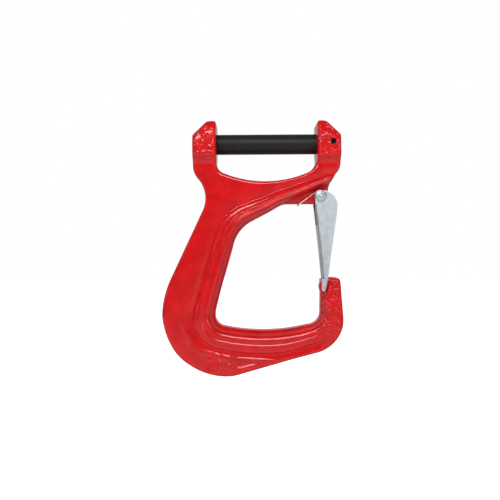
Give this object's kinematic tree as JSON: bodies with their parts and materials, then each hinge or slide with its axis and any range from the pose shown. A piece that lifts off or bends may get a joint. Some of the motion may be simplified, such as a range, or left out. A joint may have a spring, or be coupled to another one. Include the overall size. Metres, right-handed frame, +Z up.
{
  "type": "web sling hook",
  "caption": "Forged web sling hook with two jaws that hold a load pin for a flat sling, and a sprung sheet-metal latch across the mouth of the hook.",
  "frame": {"origin": "on the axis of the load pin, half way between the jaws", "axes": "+Z up towards the sling, +X along the load pin with the mouth of the hook on the +X side, the faces look along -Y and +Y"},
  "size_m": [0.1811, 0.036, 0.2558],
  "materials": {
    "red_powder_coat": "glossy red powder coat on a drop forging",
    "black_oxide": "satin black oxide on ground steel",
    "bright_zinc": "bright zinc plate, pale blue-grey",
    "spring_steel": "bare bright spring steel"
  },
  "bodies": {
    "hook": {"hook_body": "red_powder_coat", "load_pin": "black_oxide", "load_pin_roll_pin": "spring_steel", "latch_spring": "spring_steel"},
    "latch_body": {"latch": "bright_zinc", "latch_rivet": "bright_zinc"}
  },
  "joints": [
    {"name": "latch_pivot", "type": "hinge", "parent": "hook", "child": "latch_body", "pos_m": [0.0538, 0, -0.0533], "axis": [0, 1, 0], "range_deg": [0, 50], "stiffness_Nm_per_rad": 0.2, "springref_deg": -34.38, "deforming": ["latch_spring"]}
  ]
}
